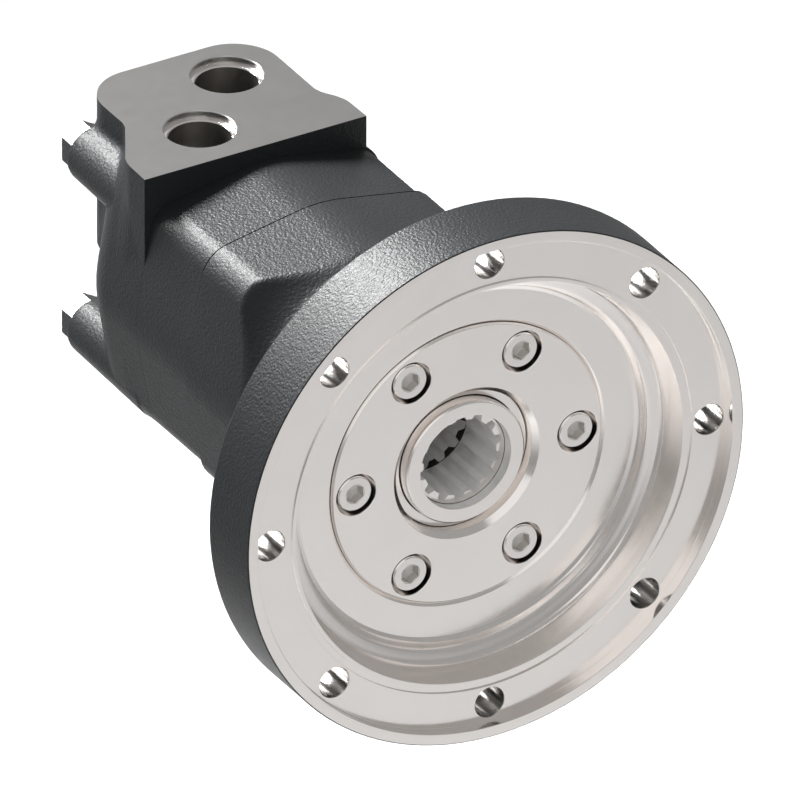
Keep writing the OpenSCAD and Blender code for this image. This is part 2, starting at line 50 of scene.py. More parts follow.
class Mat:
    """A small helper around one node material."""

    def __init__(self, name):
        self.m = bpy.data.materials.new(name)
        self.m.use_nodes = True
        self.nt = self.m.node_tree
        self.b = self.nt.nodes["Principled BSDF"]
        self.tc = self.nt.nodes.new("ShaderNodeTexCoord").outputs["Object"]

    def node(self, kind, **kw):
        n = self.nt.nodes.new(kind)
        for k, v in kw.items():
            if k in n.inputs:
                n.inputs[k].default_value = v
            else:
                setattr(n, k, v)
        return n

    def link(self, a, b):
        self.nt.links.new(a, b)

    def math(self, op, a, b=None, clamp=False):
        n = self.nt.nodes.new("ShaderNodeMath")
        n.operation = op
        n.use_clamp = clamp
        for i, v in enumerate((a, b)):
            if v is None:
                continue
            if isinstance(v, (int, float)):
                n.inputs[i].default_value = v
            else:
                self.link(v, n.inputs[i])
        return n.outputs[0]

    def noise(self, scale, detail=2.0, rough=0.5, dist=0.0, stretch=None):
        n = self.node("ShaderNodeTexNoise", Scale=scale, Detail=detail, Roughness=rough, Distortion=dist)
        src = self.tc
        if stretch:
            mp = self.node("ShaderNodeMapping")
            mp.inputs["Scale"].default_value = stretch
            self.link(src, mp.inputs["Vector"])
            src = mp.outputs["Vector"]
        self.link(src, n.inputs["Vector"])
        return n.outputs["Fac"]

    def ramp(self, fac, stops):
        r = self.nt.nodes.new("ShaderNodeValToRGB")
        el = r.color_ramp.elements
        while len(el) < len(stops):
            el.new(0.5)
        for e, (p, c) in zip(el, stops):
            e.position = p
            e.color = (c, c, c, 1) if isinstance(c, (int, float)) else (*c, 1)
        self.link(fac, r.inputs["Fac"])
        return r.outputs["Color"]

    def spread(self, fac, a, b, f0=0.3, f1=0.7):
        n = self.nt.nodes.new("ShaderNodeMapRange")
        n.inputs["From Min"].default_value = f0
        n.inputs["From Max"].default_value = f1
        n.inputs["To Min"].default_value = a
        n.inputs["To Max"].default_value = b
        self.link(fac, n.inputs["Value"])
        return n.outputs["Result"]

    def mix(self, fac, a, b):
        n = self.nt.nodes.new("ShaderNodeMix")
        n.data_type = "RGBA"
        for sock, v in ((n.inputs[6], a), (n.inputs[7], b)):
            if isinstance(v, tuple):
                sock.default_value = (*v, 1)
            else:
                self.link(v, sock)
        if isinstance(fac, (int, float)):
            n.inputs[0].default_value = fac
        else:
            self.link(fac, n.inputs[0])
        return n.outputs[2]

    def bump(self, height, strength, distance, normal=None):
        n = self.node("ShaderNodeBump", Strength=strength, Distance=distance)
        self.link(height, n.inputs["Height"])
        if normal is not None:
            self.link(normal, n.inputs["Normal"])
        return n.outputs["Normal"]

    def radius(self, y0=0.0, z0=0.0):
        """Distance from a line along X, in metres."""
        s = self.nt.nodes.new("ShaderNodeSeparateXYZ")
        self.link(self.tc, s.inputs[0])
        y = self.math("SUBTRACT", s.outputs[1], y0)
        z = self.math("SUBTRACT", s.outputs[2], z0)
        return self.math("SQRT", self.math("ADD", self.math("MULTIPLY", y, y), self.math("MULTIPLY", z, z)))


def paint(name="charcoal_paint", color=(0.0225, 0.0243, 0.0257), grain=1.0, rough=(0.37, 0.43)):
    """Satin charcoal paint over an as-cast iron skin."""
    a = Mat(name)
    cloud = a.noise(38, 3, 0.55)
    dust = a.noise(900, 2, 0.6)
    col = a.mix(a.spread(cloud, 0.0, 1.0, 0.3, 0.7), tuple(c * 0.92 for c in color), tuple(c * 1.10 for c in color))
    col = a.mix(a.spread(dust, 0.0, 0.25, 0.5, 0.8), col, tuple(c * 1.5 for c in color))
    a.link(col, a.b.inputs["Base Color"])
    # cast skin: small leathery cells with finer pits on them
    vor = a.node("ShaderNodeTexVoronoi", Scale=1000.0, Randomness=1.0)
    vor.feature = "SMOOTH_F1"
    vor.inputs["Smoothness"].default_value = 0.55
    warp = a.node("ShaderNodeTexNoise", Scale=700.0, Detail=2.0)
    a.link(a.tc, warp.inputs["Vector"])
    vm = a.nt.nodes.new("ShaderNodeVectorMath")
    vm.operation = "MULTIPLY_ADD"
    a.link(warp.outputs["Color"], vm.inputs[0])
    vm.inputs[1].default_value = (0.0010, 0.0010, 0.0010)
    a.link(a.tc, vm.inputs[2])
    a.link(vm.outputs[0], vor.inputs["Vector"])
    cells = vor.outputs["Distance"]
    fine = a.noise(2400, 2, 0.6)
    mid = a.noise(850, 2, 0.5, 0.6)
    h = a.math("ADD", a.math("MULTIPLY", cells, 0.75), a.math("MULTIPLY", mid, 0.9))
    h = a.math("ADD", h, a.math("MULTIPLY", fine, 0.22))
    n = a.bump(h, 0.60 * grain, 0.00026)
    a.link(n, a.b.inputs["Normal"])
    a.link(a.spread(mid, *rough), a.b.inputs["Roughness"])
    a.b.inputs["Specular IOR Level"].default_value = 0.25
    return a.m


def machined(name, color, rough=0.2, marks=0.05, pitch=0.00045, centre=None, lay="rings", spread=0.05):
    """Bare cut metal: the tool's lay as fine marks, and slight stain and wear in the gloss."""
    a = Mat(name)
    a.b.inputs["Metallic"].default_value = 1.0
    cloud = a.noise(60, 3, 0.55)
    col = a.mix(a.spread(cloud, 0.0, 1.0), tuple(c * 0.985 for c in color), tuple(min(1, c * 1.015) for c in color))
    a.link(col, a.b.inputs["Base Color"])
    if lay == "rings":
        y0, z0 = centre or (0.0, 0.0)
        d = a.radius(y0, z0)
        wob = a.math("MULTIPLY", a.noise(900, 1, 0.5), pitch * 0.8)
        ph = a.math("MULTIPLY", a.math("ADD", d, wob), TAU / pitch)
        wave = a.math("SINE", ph)
    else:
        wave = a.noise(260, 3, 0.6, 0.0, (1.0, 9.0, 9.0) if lay == "x" else (9.0, 1.0, 9.0))
    fine = a.noise(2200, 2, 0.6)
    h = a.math("ADD", wave, a.math("MULTIPLY", fine, 0.8))
    a.link(a.bump(h, marks, 0.00004), a.b.inputs["Normal"])
    scuff = a.noise(240, 4, 0.65)
    a.link(a.spread(a.math("ADD", a.math("MULTIPLY", scuff, 0.7), a.math("MULTIPLY", cloud, 0.3)),
                    rough - spread, rough + spread), a.b.inputs["Roughness"])
    return a.m


def simple(name, color, metal, rough, bump=0.05, scale=600, spread=0.06, spec=0.5):
    a = Mat(name)
    a.b.inputs["Metallic"].default_value = metal
    a.b.inputs["Specular IOR Level"].default_value = spec
    cloud = a.noise(90, 3, 0.6)
    col = a.mix(a.spread(cloud, 0.0, 1.0), tuple(c * 0.88 for c in color), tuple(min(1, c * 1.12) for c in color))
    a.link(col, a.b.inputs["Base Color"])
    g = a.noise(scale, 3, 0.6)
    a.link(a.bump(g, bump, 0.0001), a.b.inputs["Normal"])
    a.link(a.spread(g, rough - spread, rough + spread), a.b.inputs["Roughness"])
    return a.m


STEEL = (0.950, 0.907, 0.877)
M_PAINT = paint()
M_TURNED = machined("turned_steel", STEEL, rough=0.17, marks=0.03)
M_BORE = machined("bored_steel", (0.94, 0.90, 0.87), rough=0.14, marks=0.05, lay="rings", pitch=0.0003)
M_PORTFACE = machined("milled_port_face", (0.335, 0.330, 0.325), rough=0.32, marks=0.04, lay="y", spread=0.012)
# darker copy of the bored steel for the flange bolt holes: painted shade inside the holes
M_HOLE_SHADE = machined("drilled_steel_painted_shade", (0.44, 0.425, 0.41), rough=0.2, marks=0.05, pitch=0.0003)
# dark steel for the port bores below the seats: painted shade deep in the ports
M_PORTBORE_SHADE = machined("port_bore_painted_shade", (0.27, 0.26, 0.245), rough=0.42, marks=0.05)
M_PORTWALL = machined("port_seat_steel", (0.66, 0.65, 0.64), rough=0.30, marks=0.04)
M_SCREW = machined("screw_steel", (0.90, 0.865, 0.84), rough=0.2, marks=0.02)
M_SOCKET = machined("socket_steel", (0.84, 0.815, 0.79), rough=0.45, marks=0.02)
M_SHAFT = machined("shaft_steel", (0.95, 0.907, 0.877), rough=0.2, marks=0.04)
M_SPLINE = simple("broached_steel", (0.93, 0.905, 0.88), 0.0, 0.45, bump=0.06, scale=700)
M_GROUND = machined("ground_steel", (0.50, 0.50, 0.50), rough=0.2, marks=0.05, pitch=0.0006)
M_BEARING = machined("bearing_steel", (0.60, 0.60, 0.61), rough=0.12, marks=0.03, pitch=0.0004)
M_CAGE = simple("cage_steel", (0.40, 0.39, 0.37), 1.0, 0.32)
M_LINK = simple("link_steel", (0.25, 0.25, 0.255), 1.0, 0.34, bump=0.12, scale=900)
# black oxide for the bearing nut and the bolt shanks; the same black also paints shade on faces inside the shaft's
# splines
M_BLACK_OXIDE_AND_SHADE = simple("black_oxide_and_painted_shade", (0.055, 0.057, 0.06), 0.85, 0.38, bump=0.08)
M_RUBBER = simple("rubber_black", (0.018, 0.018, 0.018), 0.0, 0.6, bump=0.1, scale=1200, spec=0.35)
M_SPRING = simple("spring_steel", (0.33, 0.34, 0.36), 1.0, 0.3)
M_HEAD = paint("bolt_head_paint", grain=0.12, rough=(0.24, 0.30))
M_HEAD.node_tree.nodes["Principled BSDF"].inputs["Specular IOR Level"].default_value = 0.9

# ---------------------------------------------------------------------------
# Mesh helpers. Points are in millimetres and turned into metres at the end.
# ---------------------------------------------------------------------------


def link_obj(name, me):
    o = bpy.data.objects.new(name, me)
    scene.collection.objects.link(o)
    return o


def outward(me):
    me.calc_loop_triangles()
    v = np.empty(len(me.vertices) * 3)
    me.vertices.foreach_get("co", v)
    v = v.reshape(-1, 3)
    t = np.empty(len(me.loop_triangles) * 3, np.int32)
    me.loop_triangles.foreach_get("vertices", t)
    t = t.reshape(-1, 3)
    vol = np.einsum("ij,ij->i", v[t[:, 0]], np.cross(v[t[:, 1]], v[t[:, 2]])).sum()
    if vol < 0:
        me.flip_normals()


def mesh_obj(name, V, F, mats, M=None, recalc=False):
    me = bpy.data.meshes.new(name)
    me.from_pydata((np.asarray(V, float) * MM).tolist(), [], F)
    for m in mats:
        me.materials.append(m)
    if M is not None:
        me.polygons.foreach_set("material_index", np.asarray(M, np.int32))
    me.update()
    if recalc:
        bm = bmesh.new()
        bm.from_mesh(me)
        bmesh.ops.recalc_face_normals(bm, faces=bm.faces)
        bm.to_mesh(me)
        bm.free()
    outward(me)
    return link_obj(name, me)


def ring_solid(name, R, X, seg, mats, closed=True, centre=(0.0, 0.0), phase=0.0):
    """Rings of n points about a line along X. R is (rings, n) or (rings,), X is (rings,)."""
    R = np.asarray(R, float)
    n = R.shape[1]
    th = phase + np.arange(n) * TAU / n
    X = np.asarray(X, float)
    V, rows, start = [], [], 0
    for i in range(len(X)):
        if R[i].max() < 1e-9:
            V.append([[X[i], centre[0], centre[1]]])
            rows.append(np.full(n, start))
            start += 1
        else:
            V.append(np.stack([np.full(n, X[i]), centre[0] + R[i] * np.cos(th), centre[1] + R[i] * np.sin(th)], 1))
            rows.append(start + np.arange(n))
            start += n
    F, M = [], []
    last = len(X) if closed else len(X) - 1
    for i in range(last):
        a, b = rows[i], rows[(i + 1) % len(X)]
        a2, b2 = np.roll(a, -1), np.roll(b, -1)
        if a[0] == a[1]:
            q = np.stack([a, b2, b], 1)
        elif b[0] == b[1]:
            q = np.stack([a, a2, b], 1)
        else:
            q = np.stack([a, a2, b2, b], 1)
        F += q.tolist()
        M += [int(seg[i])] * n
    return mesh_obj(name, np.concatenate(V), F, mats, M)


def rounded(pts, closed=True, n=4):
    """pts are (radius, x, fillet, material of the next stretch). Gives the same with arcs in the corners."""
    out = []
    N = len(pts)
    for i, p in enumerate(pts):
        r, x, f, m = p
        if f <= 0 or (not closed and i in (0, N - 1)):
            out.append((r, x, m))
            continue
        c = np.array([r, x], float)
        a = np.array(pts[i - 1][:2], float) - c
        b = np.array(pts[(i + 1) % N][:2], float) - c
        la, lb = np.linalg.norm(a), np.linalg.norm(b)
        a, b = a / la, b / lb
        half = math.acos(max(-1, min(1, float(a @ b)))) / 2
        if half > math.radians(89):
            out.append((r, x, m))
            continue
        t = min(f / math.tan(half), 0.49 * la, 0.49 * lb)
        f2 = t * math.tan(half)
        mid = (a + b) / np.linalg.norm(a + b)
        cc = c + mid * f2 / math.sin(half)
        s, e = c + a * t - cc, c + b * t - cc
        a0 = math.atan2(s[1], s[0])
        da = (math.atan2(e[1], e[0]) - a0 + math.pi) % TAU - math.pi
        for k in range(n + 1):
            w = a0 + da * k / n
            out.append((cc[0] + f2 * math.cos(w), cc[1] + f2 * math.sin(w), m))
    return out


def lathe(name, pts, mats, n=192, closed=True, centre=(0.0, 0.0), arcs=4, phase=0.0):
    q = rounded(pts, closed, arcs)
    R = np.repeat(np.array([[p[0]] for p in q]), n, 1)
    return ring_solid(name, R, [p[1] for p in q], [p[2] for p in q], mats, closed, centre, phase)


def prism(name, outline, x0, x1, mats, mat=0, caps=None):
    """A closed outline in Y-Z, drawn from x0 to x1."""
    P = np.asarray(outline, float)
    n = len(P)
    V = np.concatenate([np.column_stack([np.full(n, x), P]) for x in (x0, x1)])
    F = [[i, (i + 1) % n, n + (i + 1) % n, n + i] for i in range(n)]
    F += [list(range(n)), list(range(n, 2 * n))[::-1]]
    M = [mat] * n + [mat if caps is None else caps] * 2
    return mesh_obj(name, V, F, mats, M, recalc=True)


def block(name, a, b, mats, mat=0):
    x0, y0, z0 = a
    x1, y1, z1 = b
    V = [(x, y, z) for x in (x0, x1) for y in (y0, y1) for z in (z0, z1)]
    F = [[0, 1, 3, 2], [4, 6, 7, 5], [0, 4, 5, 1], [2, 3, 7, 6], [0, 2, 6, 4], [1, 5, 7, 3]]
    return mesh_obj(name, V, F, mats, [mat] * 6, recalc=True)


def apply_mods(o):
    dg = bpy.context.evaluated_depsgraph_get()
    me = bpy.data.meshes.new_from_object(o.evaluated_get(dg), preserve_all_data_layers=True, depsgraph=dg)
    old = o.data
    o.modifiers.clear()
    o.data = me
    bpy.data.meshes.remove(old)


def boolean(o, tools, op="DIFFERENCE"):
    for t in tools:
        m = o.modifiers.new("cut", "BOOLEAN")
        m.operation = op
        m.object = t
        m.solver = "MANIFOLD"
        before = len(o.data.polygons)
        apply_mods(o)
        if len(o.data.polygons) in (0, before):
            raise RuntimeError(f"{o.name}: the cut by {t.name} left nothing ({before} faces before)")
        me = t.data
        bpy.data.objects.remove(t)
        bpy.data.meshes.remove(me)
    return o


def dress(o, angle=28.0, weighted=True):
    """Smooth shading with sharp edges kept, and normals that stay flat on flat faces."""
    me = o.data
    bm = bmesh.new()
    bm.from_mesh(me)
    bmesh.ops.remove_doubles(bm, verts=bm.verts, dist=2e-7)
    bmesh.ops.dissolve_degenerate(bm, edges=bm.edges, dist=1e-7)
    lim = math.radians(angle)
    for f in bm.faces:
        f.smooth = True
    for e in bm.edges:
        e.smooth = len(e.link_faces) == 2 and e.calc_face_angle(0.0) < lim
    bm.to_mesh(me)
    bm.free()
    if weighted:
        m = o.modifiers.new("w", "WEIGHTED_NORMAL")
        m.keep_sharp = True
        m.mode = "FACE_AREA"
        m.weight = 50
        apply_mods(o)
    return o


def copies(o, moves):
    """Repeats a mesh at each (dy, dz) in millimetres, inside the same object."""
    me = o.data
    bm = bmesh.new()
    bm.from_mesh(me)
    src = bm.verts[:] + bm.edges[:] + bm.faces[:]
    out = bmesh.new()
    for dy, dz in moves:
        tmp = me.copy()
        tmp.transform(Matrix.Translation((0, dy * MM, dz * MM)))
        out.from_mesh(tmp)
        bpy.data.meshes.remove(tmp)
    out.to_mesh(me)
    out.free()
    bm.free()
    return o


def smin(a, b, k):
    h = np.maximum(k - np.abs(a - b), 0) / k
    return np.minimum(a, b) - h * h * k * 0.25


def smax(a, b, k):
    return -smin(-a, -b, k)


def section_rho(th, R, r, c):
    """Polar radius of a circle R joined by straight flanks to corner circles r at (+-c, +-c)."""
    h = c * math.sqrt(2)
    b = (R - r) / h
    a = math.sqrt(1 - b * b)
    d = np.abs((th - math.pi / 4) % (math.pi / 2))
    d = np.minimum(d, math.pi / 2 - d)
    phi, phi2 = math.acos(b), math.atan2(r * a, h + r * b)
    line = R / (np.sin(d) * a + np.cos(d) * b)
    cap = h * np.cos(d) + np.sqrt(np.maximum(r * r - (h * np.sin(d)) ** 2, 0))
    return np.where(d >= phi, R, np.where(d >= phi2, line, cap))


def section_sdf(y, z, R, r, c):
    h = c * math.sqrt(2)
    y, z = np.abs(y), np.abs(z)
    u, v = (y + z) / math.sqrt(2), np.abs(y - z) / math.sqrt(2)
    b = (R - r) / h
    a = np.sqrt(1 - b * b)
    k = -b * v + a * u
    big = np.hypot(u, v) - R
    small = np.hypot(u - h, v) - r
    side = a * v + b * u - R
    return np.where(k < 0, big, np.where(k > a * h, small, side))


def at(o, name, nodes, body):
    o.name = name
    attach(o, body)
    for n in nodes:
        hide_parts(n)
    return o


BOLT_C = 32.7
CORNERS = [(sy * BOLT_C, sz * BOLT_C) for sy in (-1, 1) for sz in (-1, 1)]
COVER_MATS = [M_TURNED, M_BORE]

# ---------------------------------------------------------------------------
# Front housing: flange, neck and cast body with a turned relief behind the flange
# ---------------------------------------------------------------------------


def make_front_housing():
    n = 512
    P, T, B = 0, 1, 2
    fil = [(48.5 + 20 - 20 * math.sin(math.radians(a)), -46.2 + 20 * math.cos(math.radians(a)))
           for a in np.linspace(0, 90, 13)]
    head = [(90.0, 0, 0.25, T), (94.1, 0, 0.4, P), (94.1, -26.2, 1.4, P)]
    # along the back of the flange and down the fillet to the neck
    back = [(r, x, 0, P) for r, x in fil[0:]]
    ring = rounded([(90.0, -4.0, 0, T)] + head + back + [(48.5, -60.0, 0, P)], closed=False)
    ring = ring[1:]
    q = [(np.full(n, r), x, m) for r, x, m in ring]
    th = np.arange(n) * TAU / n
    rs = section_rho(th, 50.1, 12.0, BOLT_C)
    xs = list(np.arange(-70.0, -75.0, -1.25)) + list(np.arange(-75.0, -97.3, -0.6)) + list(np.arange(-98.0, -115.9, -2.9)) + [-116.8]
    for x in xs:
        rel = 81.25 - math.sqrt(max(34.2 ** 2 - (x + 66.1) ** 2, 0)) if x > -100.2 else 99.0
        if x > -66.1:
            rel = 47.05
        r = smin(rs, np.full(n, rel), 1.6)
        r = smax(r, np.full(n, 48.5), 1.0)
        if x > -72:
            r = np.full(n, 48.5)
        q.append((r, x, P))
    q[-1] = (q[-1][0], -116.05, P)
    w = 0.03 + 0.97 * np.clip((rs * np.sin(th) - 35) / 8, 0, 1)
    q += [(rs - d * w, x, P) for d, x in ((0.05, -116.1), (0.5, -116.11), (0.5, -116.52), (0.05, -116.53), (0, -116.6), (0, -116.9))]
    q += [(rs - 0.1, -117.0, T)]
    q.append((rs * 0 + 46.6, -117.0, T))
    inner = [(39.8, -117, 0.1, T), (39.8, -115.7, 0.1, T), (38, -115.7, 0.1, T), (38, -117, 0.1, T),
             (37.1, -117, 0.15, B), (37.1, -111, 0, T), (35.5, -111, 0.1, B), (35.5, -86, 0, T),
             (34, -86, 0.1, B), (34, -66, 0, T), (31, -66, 0.2, B), (31, -52.6, 0.2, T), (34, -52.6, 0, B),
             (34, -33, 0.3, T), (51.3, -33, 0, B), (51.3, -20.2, 0.15, T), (52.4, -19.1, 0.15, T),
             (63.6, -19.1, 0.9, T), (64.9, -18.7, 0, T), (65.6, -17.8, 0, T), (66.0, -16.6, 0, T),
             (66.6, -15.7, 0, T), (67.6, -15.2, 0, T), (69.4, -15.1, 0, T), (70.8, -14.7, 0, T),
             (71.6, -13.8, 0, T), (72.0, -12.6, 0, T), (73.4, -4, 0.25, T), (74.9, -4, 0.08, T),
             (74.9, -4.6, 0.08, T), (77.0, -4.6, 0.08, T), (77.0, -4, 0.08, T), (90.0, -4.0, 0.3, T)]
    tail = rounded([(45, -117, 0, T)] + inner + [(90.0, -0.5, 0, T)], closed=False, n=3)[1:-1]
    q += [(np.full(n, r), x, m) for r, x, m in tail]
    R = np.stack([a[0] for a in q])
    mats = [M_PAINT, M_TURNED, M_BORE, M_HOLE_SHADE]
    o = ring_solid("front_housing_v", R, [a[1] for a in q], [a[2] for a in q], mats)
    # H: the flange bolt holes take the darker drilled steel, which is painted shade inside the holes
    H = 3
    tools = []
    for i in range(8):
        a = i * TAU / 8
        c = (83.3 * math.cos(a), 83.3 * math.sin(a))
        tools.append(lathe("t", [(0, -2, 0, H), (5.68, -2, 0, H), (5.68, -4, 0, H), (5.5, -4.18, 0, H), (5.5, -26.0, 0, H),
                                 (5.7, -26.2, 0, H), (5.7, -30, 0, H), (0, -30, 0, H)], mats, 72, False, c))
    for i in range(6):
        a = i * TAU / 6
        c = (42 * math.cos(a), 42 * math.sin(a))
        tools.append(lathe("t", [(0, -31, 0, B), (4.0, -31, 0, B), (4.0, -47, 0, B), (0, -49, 0, B)], mats, 32, False, c))
    for c in CORNERS:
        tools.append(lathe("t", [(0, -119, 0, B), (5.0, -119, 0, B), (5.0, -100, 0, B), (0, -98, 0, B)], mats, 32, False, c))
    boolean(o, tools)
    return at(dress(o), "front_housing_v", ["front_housing"], "housing")


# ---------------------------------------------------------------------------
# Stator ring
# ---------------------------------------------------------------------------


def make_stator():
    n = 512
    th = np.arange(n) * TAU / n
    rs = section_rho(th, 48.5, 10.4, BOLT_C)
    q = []
    q += [(rs - 0.1, -117.0, 0), (rs, -117.1, 0)]
    for k in range(0, 5):
        w = math.radians(90 * k / 4)
        q.append((rs - 0.12 * (1 - math.cos(w)), -152.38 - 0.12 * math.sin(w), 0 if k < 4 else 1))
    q += [(np.full(n, 25.0), -152.5, 1), (np.full(n, 25.0), -117.0, 1)]
    o = ring_solid("stator_ring_v", np.stack([a[0] for a in q]), [a[1] for a in q], [a[2] for a in q], [M_PAINT, M_GROUND])
    mats = [M_PAINT, M_GROUND]

    def rod(r, c, seg):
        return lathe("t", [(0, -115, 0, 1), (r, -115, 0, 1), (r, -155, 0, 1), (0, -155, 0, 1)], mats, seg, False, c)

    tools = [rod(30.35, (0, 0), 256)]
    tools += [rod(5.05, (30 * math.cos(k * TAU / 7), 30 * math.sin(k * TAU / 7)), 64) for k in range(7)]
    tools += [rod(5.25, c, 40) for c in CORNERS]
    boolean(o, tools)
    return at(dress(o), "stator_ring_v", ["stator_ring"], "housing")


# ---------------------------------------------------------------------------
# Rear housing: a cast shape built as a distance field, then cut flat and drilled
# ---------------------------------------------------------------------------


def arc_pts(cx, cy, r, a0, a1, n):
    return [(cx + r * math.cos(math.radians(a0 + (a1 - a0) * i / n)),
             cy + r * math.sin(math.radians(a0 + (a1 - a0) * i / n))) for i in range(n + 1)]


BLOCK = ([(-146.0, -45.3), (-152.5, -45.3), (-163.2, -45.0), (-165.4, -44.6), (-167.8, -43.75), (-183.1, -35.0), (-185.6, -33.6),
          (-188.5, -32.8)] + arc_pts(-201.2, -16.2, 16.6, 270, 180, 14) + arc_pts(-201.2, 16.6, 16.6, 180, 90, 14)
         + [(-176.6, 33.2), (-173.6, 34.0), (-168.4, 37.2), (-165.4, 38.4), (-163.0, 38.7), (-152.5, 39.0), (-146.0, 39.0)])


def poly_sdf(px, py, poly):
    P = np.asarray(poly, float)
    Q = np.roll(P, -1, 0)
    d = np.full(px.shape, 1e18)
    s = np.ones(px.shape)
    for (ax, ay), (bx, by) in zip(P, Q):
        ex, ey = bx - ax, by - ay
        wx, wy = px - ax, py - ay
        t = np.clip((wx * ex + wy * ey) / (ex * ex + ey * ey + 1e-18), 0, 1)
        d = np.minimum(d, (wx - ex * t) ** 2 + (wy - ey * t) ** 2)
        c1, c2, c3 = py >= ay, py < by, ex * wy > ey * wx
        s = np.where((c1 & c2 & c3) | (~c1 & ~c2 & ~c3), -s, s)
    return s * np.sqrt(d)


def round_max(a, b, r):
    return np.minimum(np.maximum(a + r, b + r), 0) + np.hypot(np.maximum(a + r, 0), np.maximum(b + r, 0)) - r


def round_min(a, b, r):
    r = np.maximum(r, 1e-6)
    return np.maximum(r, np.minimum(a, b)) - np.hypot(np.maximum(r - a, 0), np.maximum(r - b, 0))


def rear_sdf(x, y, z):
    rr = 11.2 - 1.1 * np.clip((-152.5 - x) / 55.7, 0, 1.02)
    fade = np.clip((x + 166) / 13.5, 0, 1) * np.clip((16 - np.minimum(y, z)) / 20, 0, 1)
    body = section_sdf(y, z, 48.5, rr - 0.8 * fade, BOLT_C)
    body = round_max(body, -193.5 - x, 20.0)
    k = 3.0 * np.clip((-184.0 - x) / 8.0, 0, 1)
    boss = np.full(np.shape(x), 1e9)
    for cy, cz in CORNERS:
        boss = np.minimum(boss, np.hypot(y - cy, z - cz) - rr)
    boss = round_max(boss, -208.2 - x, 0.8)
    boss = np.maximum(boss, x + 160)
    d = round_min(body, boss, k)
    port = np.maximum(poly_sdf(x, y, BLOCK), -2.0 - z)
    port = np.maximum(port, z - 60.0)
    # the sloping underside below the overhang
    sl = np.maximum(np.maximum(-(22.1 * (x + 216) + 20 * (z + 1.9)) / math.hypot(22.1, 20), np.abs(y) - 24.0), z + 1.0)
    sl = np.maximum(sl, -24.0 - z)
    port = np.minimum(port, np.maximum(sl, x + 180))
    k2 = np.clip((-156 - x) * 0.25, 0.25, 11.0)
    d = np.minimum(d, round_min(body, port, k2))
    d = np.minimum(d, round_min(boss, port, 3.0 * np.clip((-162 - x) / 8.0, 0, 1)))
    return np.maximum(d, x + 149.3)


def surface_nets(F, org, h):
    inside = F < 0
    nx, ny, nz = F.shape
    c = np.zeros((nx - 1, ny - 1, nz - 1), np.int16)
    for i in (0, 1):
        for j in (0, 1):
            for k in (0, 1):
                c += inside[i:nx - 1 + i, j:ny - 1 + j, k:nz - 1 + k]
    act = (c > 0) & (c < 8)
    idx = np.full(act.shape, -1, np.int64)
    cells = np.argwhere(act)
    idx[act] = np.arange(len(cells))
    acc = np.zeros((len(cells), 3))
    cnt = np.zeros(len(cells))
    ci, cj, ck = cells.T
    corners = [(i, j, k) for i in (0, 1) for j in (0, 1) for k in (0, 1)]
    for a in corners:
        for ax in range(3):
            if a[ax]:
                continue
            b = list(a)
            b[ax] = 1
            fa = F[ci + a[0], cj + a[1], ck + a[2]]
            fb = F[ci + b[0], cj + b[1], ck + b[2]]
            m = (fa < 0) != (fb < 0)
            t = np.where(m, fa / np.where(m, fa - fb, 1), 0)
            for q in range(3):
                acc[:, q] += np.where(m, a[q] + (t if q == ax else 0), 0)
            cnt += m
    V = (cells + acc / cnt[:, None]) * h + org
    faces = []
    for ax in range(3):
        u, v = [(1, 2), (2, 0), (0, 1)][ax]
        sl0 = [slice(1, s - 1) for s in F.shape]
        sl1 = [slice(1, s - 1) for s in F.shape]
        sl0[ax], sl1[ax] = slice(0, F.shape[ax] - 1), slice(1, F.shape[ax])
        a, b = inside[tuple(sl0)], inside[tuple(sl1)]
        e = np.argwhere(a != b)
        flip = a[tuple(e.T)]
        off = np.ones(3, int)
        off[ax] = 0
        p = e + off

        def cell(du, dv):
            q = p.copy()
            q[:, u] -= du
            q[:, v] -= dv
            return idx[tuple(q.T)]

        quad = np.stack([cell(0, 0), cell(1, 0), cell(1, 1), cell(0, 1)], 1)
        quad[~flip] = quad[~flip][:, ::-1]
        faces.append(quad)
    return V, np.concatenate(faces)


def field_mesh(name, sdf, lo, hi, h, mats, smooth=3):
    ax = [np.arange(a, b + h, h) for a, b in zip(lo, hi)]
    X, Y, Z = np.meshgrid(*ax, indexing="ij")
    F = sdf(X, Y, Z)
    V, Q = surface_nets(F, np.array([a[0] for a in ax]), h)
    assert Q.min() >= 0
    # even out the mesh along the surface, and put each point back on it
    nb = np.concatenate([Q[:, [0, 1]], Q[:, [1, 2]], Q[:, [2, 3]], Q[:, [3, 0]]])
    nb = np.unique(np.sort(nb, 1), axis=0)
    deg = np.bincount(nb.ravel(), minlength=len(V))[:, None]
    for it in range(smooth + 1):
        if it < smooth:
            s = np.zeros_like(V)
            np.add.at(s, nb[:, 0], V[nb[:, 1]])
            np.add.at(s, nb[:, 1], V[nb[:, 0]])
            V = V + 0.5 * (s / deg - V)
        for _ in range(2):
            e = 0.02
            f = sdf(*V.T)
            g = np.stack([sdf(V[:, 0] + (e if q == 0 else 0), V[:, 1] + (e if q == 1 else 0), V[:, 2] + (e if q == 2 else 0)) - f
                          for q in range(3)], 1) / e
            gl = np.maximum((g * g).sum(1), 0.25)
            step = -(f / gl)[:, None] * g
            V = V + np.clip(step, -0.4, 0.4)
    return mesh_obj(name, V, Q.tolist(), mats)


